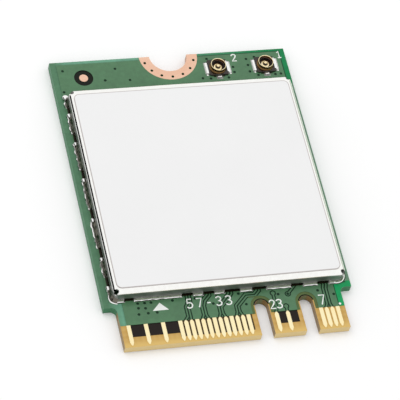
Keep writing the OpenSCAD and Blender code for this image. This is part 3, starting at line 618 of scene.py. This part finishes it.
# The middle, half the size and the corner radius of every pool
POOLS = []
for gap, width in FRONT_GAPS:
    POOLS.append(((gap, FRONT_POOL), (width / 2 - POOL_SHORT, FRONT_DEPTH), 0.05))
for gap, width in REAR_GAPS:
    POOLS.append(((gap, REAR_POOL), (width / 2 - POOL_SHORT, REAR_DEPTH), 0.05))
for gap, width in SIDE_GAPS:
    POOLS.append(((LEFT_POOL, gap), (LEFT_DEPTH, width / 2 - POOL_SHORT), 0.05))
    POOLS.append(((RIGHT_POOL, gap), (RIGHT_DEPTH, width / 2 - POOL_SHORT), 0.05))
for x, y, z in RECEPTACLES.values():
    for off in TAIL_POOLS_X:
        POOLS.append(((x + off, y + TAIL_POOLS_Y), TAIL_POOL_HALF, 0.04))
pools = bmesh.new()
for middle, half, corner in POOLS:
    rounded_plate(pools, middle, half, corner, MASK_TOP - 0.01, MASK_TOP + 0.006)
shown("shade_pools", pools, shade_black, "solder")


# Antenna receptacles, drawn in mm from the middle of each one on the copper
# The ring spreads at its root, has a waist that the plug snaps over, and a rolled bright rim
RIM = [(0.62, 0.5), (0.628, 0.57), (0.645, 0.6), (0.668, 0.612), (0.69, 0.602), (0.706, 0.575),
       (0.704, 0.55), (0.68, 0.52)]
SKIRT = [(0.62, 0.1), (0.62, 0.53), (0.685, 0.53), (0.69, 0.5), (0.675, 0.46), (0.68, 0.32),
         (0.73, 0.26), (0.78, 0.22), (0.8, 0.18), (0.8, 0.1)]
# A collar of the insulator stands inside the ring
COLLAR = [(0.57, 0.1), (0.57, 0.34), (0.6, 0.36), (0.61, 0.34), (0.61, 0.1)]
# A thin sleeve inside the ring, there only to carry the bore's painted shade
BORE = [(0.6, 0.17), (0.6, 0.5), (0.625, 0.55), (0.625, 0.17)]
# A raised gold dish stands round the pin, with a dark well between them
DISH = [(0.2, 0.17), (0.22, 0.22), (0.28, 0.26), (0.36, 0.25), (0.43, 0.21), (0.46, 0.17)]
PIN = [(0.0, 0.17), (0.09, 0.17), (0.09, 0.3), (0.12, 0.33), (0.15, 0.38), (0.148, 0.42),
       (0.12, 0.45), (0.06, 0.468), (0.0, 0.47)]
# The ground tabs' sections: the left one lies flat, the right one also hooks over the insulator
TABS = {
    -1: [(0.91, 0.0), (1.2, 0.0), (1.2, 0.05), (1.18, 0.09), (0.92, 0.12), (0.91, 0.1)],
    1: [(0.91, 0.0), (1.2, 0.0), (1.2, 0.08), (1.185, 0.095), (0.98, 0.1), (0.94, 0.21),
        (0.92, 0.25), (0.8, 0.26), (0.8, 0.23), (0.91, 0.2)],
}
# Where the tabs start, and how long they are from front to rear
TAB_FRONT = -0.6
TAB_LENGTH = 1.2
# Solder that gathered at the tabs' front corners
TAB_SOLDER = ((-1.07, -0.75, 0.03), (1.1, -0.7, 0.03))
# The pin's tail: half its width, its height, where it leaves the block and how far it reaches
TAIL_HALF = 0.175
TAIL_HEIGHT = 0.1
TAIL_START = -0.84
TAIL_LENGTH = 0.26
# The insulator's block: half its size, its corners, its levels, its eased top edge and the pocket
BLOCK_HALF = (0.9, 0.85)
BLOCK_CORNER = 0.15
BLOCK_LOW = 0.02
BLOCK_TOP = 0.2
BLOCK_EASE = 0.03
POCKET_RADIUS = 0.7
POCKET_DEPTH = 0.06


def insulator(name, centre, node):
    """The moulded block, with round corners, eased top edges and the round pocket."""
    cx, cy, cz = centre
    block = bmesh.new()
    top = rounded_plate(block, (cx, cy), BLOCK_HALF, BLOCK_CORNER, cz + BLOCK_LOW, cz + BLOCK_TOP)
    lid = [f for f in block.faces if all(v in top for v in f.verts)]
    border = bmesh.ops.inset_region(block, faces=lid, thickness=BLOCK_EASE * MM)["faces"]
    # The lid's outer edge drops by as much as its inner one stands in
    outer = {v for f in border for v in f.verts} - {v for f in lid for v in f.verts}
    bmesh.ops.translate(block, verts=list(outer), vec=point(0, 0, -BLOCK_EASE))
    rim = [e for f in lid for e in f.edges]
    bmesh.ops.delete(block, geom=lid, context="FACES_ONLY")
    hole = bmesh.ops.create_circle(block, segments=48, radius=POCKET_RADIUS * MM)["verts"]
    bmesh.ops.translate(block, verts=hole, vec=point(cx, cy, cz + BLOCK_TOP))
    mouth = list({e for v in hole for e in v.link_edges})
    bmesh.ops.triangle_fill(block, edges=rim + mouth, use_beauty=True)
    wall = bmesh.ops.extrude_edge_only(block, edges=mouth)["geom"]
    floor_ring = [v for v in wall if isinstance(v, bmesh.types.BMVert)]
    bmesh.ops.translate(block, verts=floor_ring, vec=point(0, 0, -POCKET_DEPTH))
    ring_edges = [e for e in wall if isinstance(e, bmesh.types.BMEdge) and e.is_boundary]
    bmesh.ops.holes_fill(block, edges=ring_edges, sides=0)
    turn(block, COLLAR, centre)
    shown(name, block, dark_polymer, "dark_polymer", node)


def ground_tabs(name, centre, node):
    """The two tabs that the shell is soldered down by, with the solder at their corners."""
    cx, cy, cz = centre
    tabs = bmesh.new()
    for side, section in TABS.items():
        outline = [(cx + side * x, cy + TAB_FRONT, cz + z) for x, z in section]
        bar(tabs, outline, (0, 1, 0), TAB_LENGTH)
    ease(tabs)
    for x, y, z in TAB_SOLDER:
        ball(tabs, (cx + x, cy + y, cz + z), 0.1, (1, 1, 0.6))
    shown(name, tabs, bright_solder, "solder", node)


def pin_tail(name, centre, node):
    """The flat tail of the pin, which comes out of the block at the front."""
    cx, cy, cz = centre
    tail = bmesh.new()
    corners = ((-1, 0.0), (-1, TAIL_HEIGHT), (1, TAIL_HEIGHT), (1, 0.0))
    outline = [(cx + side * TAIL_HALF, cy + TAIL_START, cz + z) for side, z in corners]
    bar(tail, outline, (0, -1, 0), TAIL_LENGTH)
    ease(tail)
    shown(name, tail, solder, "solder", node)


for number, centre in RECEPTACLES.items():
    antenna = f"antenna_{number}"
    for ending, section, finish in (("_rim", RIM, bright_gold), ("_skirt", SKIRT, shaded_gold)):
        ring = bmesh.new()
        turn(ring, section, centre)
        shown(antenna + ending, ring, finish, "gold_shell", antenna + "_shell")
    ground_tabs(antenna + "_tabs", centre, antenna + "_shell")
    bore = bmesh.new()
    turn(bore, BORE, centre)
    shown(antenna + "_bore", bore, shaded_bronze, "gold_shell", antenna + "_shell")
    pin = bmesh.new()
    turn(pin, DISH, centre, steps=48)
    turn(pin, PIN, centre, closed=False, steps=40)
    shown(antenna + "_centre", pin, bright_gold, "gold_shell", antenna + "_pin")
    pin_tail(antenna + "_tail", centre, antenna + "_pin")
    insulator(antenna + "_block", centre, antenna + "_insulator")


# White print on the mask: plain contact and receptacle numbers, a triangle and a dot.
# A figure is the middle lines of its strokes, for a height of 1.
FIGURES = {
    "1": [[(0.12, 0.78), (0.34, 1), (0.34, 0)], [(0.1, 0), (0.58, 0)]],
    "2": [[(0.05, 0.76), (0.1, 0.92), (0.28, 1), (0.48, 0.94), (0.56, 0.76), (0.46, 0.52),
           (0.05, 0), (0.6, 0)]],
    "3": [[(0.05, 0.86), (0.17, 0.97), (0.34, 1), (0.51, 0.92), (0.55, 0.76), (0.46, 0.58),
           (0.26, 0.53), (0.49, 0.46), (0.58, 0.28), (0.51, 0.08), (0.31, 0), (0.13, 0.03),
           (0.03, 0.15)]],
    "5": [[(0.54, 1), (0.12, 1), (0.08, 0.56), (0.3, 0.62), (0.5, 0.54), (0.58, 0.33),
           (0.5, 0.1), (0.3, 0), (0.12, 0.03), (0.03, 0.14)]],
    "7": [[(0.04, 1), (0.58, 1), (0.22, 0)]],
    "-": [[(0.1, 0.42), (0.45, 0.42)]],
}
# The print's middle level, its thickness and the width of a stroke
INK_Z = MASK_TOP + 0.001
INK_HEIGHT = 0.01
INK_LINE = 0.12


def printed(name, words, x, y, height, step):
    """Draws plain figures in even strokes on the mask, the first one's foot at a place in mm."""
    curve = bpy.data.curves.new(name, "CURVE")
    curve.dimensions = "3D"
    curve.bevel_depth = INK_LINE / 2 * MM
    curve.bevel_resolution = 2
    curve.use_fill_caps = True
    for place, figure in enumerate(words):
        for stroke in FIGURES[figure]:
            path = curve.splines.new("POLY")
            path.points.add(len(stroke) - 1)
            for spot, (across, up) in zip(path.points, stroke):
                spot.co = (*point(x + place * step + across * height, y + up * height, 0), 1)
    draft = in_scene(name + "_draft", curve)
    bpy.context.view_layer.update()
    data = bpy.data.meshes.new_from_object(draft)
    bpy.data.objects.remove(draft)
    ink = bmesh.new()
    ink.from_mesh(data)
    bpy.data.meshes.remove(data)
    bmesh.ops.scale(ink, verts=ink.verts, vec=(1, 1, INK_HEIGHT / INK_LINE))
    bmesh.ops.translate(ink, verts=ink.verts, vec=point(0, 0, INK_Z))
    shown(name, ink, white_ink, "label_film")


printed("number_2", "2", 5.86, 13.9, 0.76, 0)
printed("number_1", "1", 10.17, 13.95, 0.72, 0)
printed("contacts_57_to_33", "57-33", -3.85, -11.75, 0.88, 0.86)
printed("contact_23", "23", 3.32, -12.55, 0.85, 0.62)
printed("contact_7", "7", 7.75, -12.6, 0.95, 0)

# The triangle's corners, the dot's middle and radius, and how high both stand on the mask
TRIANGLE = ((-6.88, -11.7), (-5.47, -11.7), (-6.15, -10.96))
DOT_X, DOT_Y, DOT_RADIUS = 9.54, -12.67, 0.11
MARK_HEIGHT = 0.004
marks = bmesh.new()
bar(marks, [(x, y, MASK_TOP) for x, y in TRIANGLE], (0, 0, 1), MARK_HEIGHT)
dot = bmesh.ops.create_circle(marks, cap_ends=True, segments=24, radius=DOT_RADIUS * MM)["verts"]
bmesh.ops.translate(marks, verts=dot, vec=point(DOT_X, DOT_Y, MASK_TOP + MARK_HEIGHT))
shown("triangle_and_dot", marks, white_ink, "label_film")


# Camera, floor and light. The camera was fitted to the photograph.
camera_data = bpy.data.cameras.new("camera")
camera_data.lens = 220.498
camera_data.sensor_width = 36
camera_data.clip_start = 0.01
camera = in_scene("camera", camera_data)
camera.location = (-0.05623609, -0.11417341, 0.17370920)
camera.rotation_euler = [math.radians(angle) for angle in (34.916218, -10.002664, -12.270361)]
bpy.context.scene.camera = camera
bpy.context.scene.view_settings.view_transform = "Standard"


def seen_directly(tree):
    """Tells the camera's and the mirrors' rays from the light's own."""
    rays = add(tree, "LightPath").outputs
    mirrors = calc(tree, "MAXIMUM", rays["Is Glossy Ray"], rays["Is Transmission Ray"])
    return calc(tree, "MAXIMUM", rays["Is Camera Ray"], mirrors)


def white_floor():
    """Matt white board under the card: it keeps the shadow and reads as white."""
    material, tree = new_material("white floor")
    matt = add(tree, "BsdfDiffuse", {"Color": linear("F4F4F4")})
    glow = add(tree, "Emission", {"Color": linear("FFFFFF"), "Strength": 0.1})
    lifted = add(tree, "AddShader", {0: matt.outputs[0], 1: glow.outputs[0]})
    either = add(tree, "MixShader", {
        0: seen_directly(tree), 1: matt.outputs[0], 2: lifted.outputs[0]})
    add(tree, "OutputMaterial", {"Surface": either.outputs[0]})
    return material


# The floor lies a hair under the card, so that the two faces don't fight
FLOOR_HALF = 0.6
FLOOR_Z = -0.00001
floor_mesh = bmesh.new()
bmesh.ops.create_grid(floor_mesh, x_segments=1, y_segments=1, size=FLOOR_HALF)
bmesh.ops.translate(floor_mesh, verts=floor_mesh.verts, vec=(0, 0, FLOOR_Z))
floor = in_scene("floor", as_data("floor", floor_mesh))
floor.data.materials.append(white_floor())

world = bpy.data.worlds.new("studio")
world.use_nodes = True
world.node_tree.nodes.clear()
bpy.context.scene.world = world
sky = add(world.node_tree, "Background", {"Color": linear("FFFFFF"), "Strength": 0.86})
backdrop = add(world.node_tree, "Background", {"Color": linear("FFFFFF"), "Strength": 1.0})
seen = add(world.node_tree, "MixShader", {
    0: seen_directly(world.node_tree), 1: sky.outputs[0], 2: backdrop.outputs[0]})
add(world.node_tree, "OutputWorld", {"Surface": seen.outputs[0]})

# A soft lamp from the rear left, which mirrors don't show
softbox_data = bpy.data.lights.new("softbox", "AREA")
softbox_data.shape = "RECTANGLE"
softbox_data.size = 0.25
softbox_data.size_y = 0.25
softbox_data.energy = 0.23
softbox = in_scene("softbox", softbox_data)
softbox.location = (-0.1, 0.12, 0.3)
softbox.rotation_euler = (-softbox.location).to_track_quat("-Z", "Y").to_euler()
softbox.visible_glossy = False

# Both ends of the studio cards and their thickness, in mm
CARD_ENDS = (-13, 14)
CARD_THICK = 0.5


def studio_card(name, colour, x, low, high):
    """A plain card that stands beside the part, where only mirrors see it."""
    mesh = bmesh.new()
    front, rear = CARD_ENDS
    bar(mesh, [(x, front, low), (x, rear, low), (x, rear, high), (x, front, high)], (1, 0, 0),
        CARD_THICK)
    board = in_scene(name, as_data(name, mesh))
    paint, tree = new_material(name)
    skin = add(tree, "BsdfDiffuse", {"Color": linear(colour)})
    add(tree, "OutputMaterial", {"Surface": skin.outputs[0]})
    board.data.materials.append(paint)
    board.visible_camera = False
    board.visible_diffuse = False
    board.visible_shadow = False
    board.visible_transmission = False


# A black one on the left makes the dark line in the can's bend, a grey-green one on the right
# the dull line in the other bend
studio_card("black_card", "000000", -14.0, 0.8, 5.4)
studio_card("grey_card", "D4E4CE", 14.5, 0.9, 4.7)
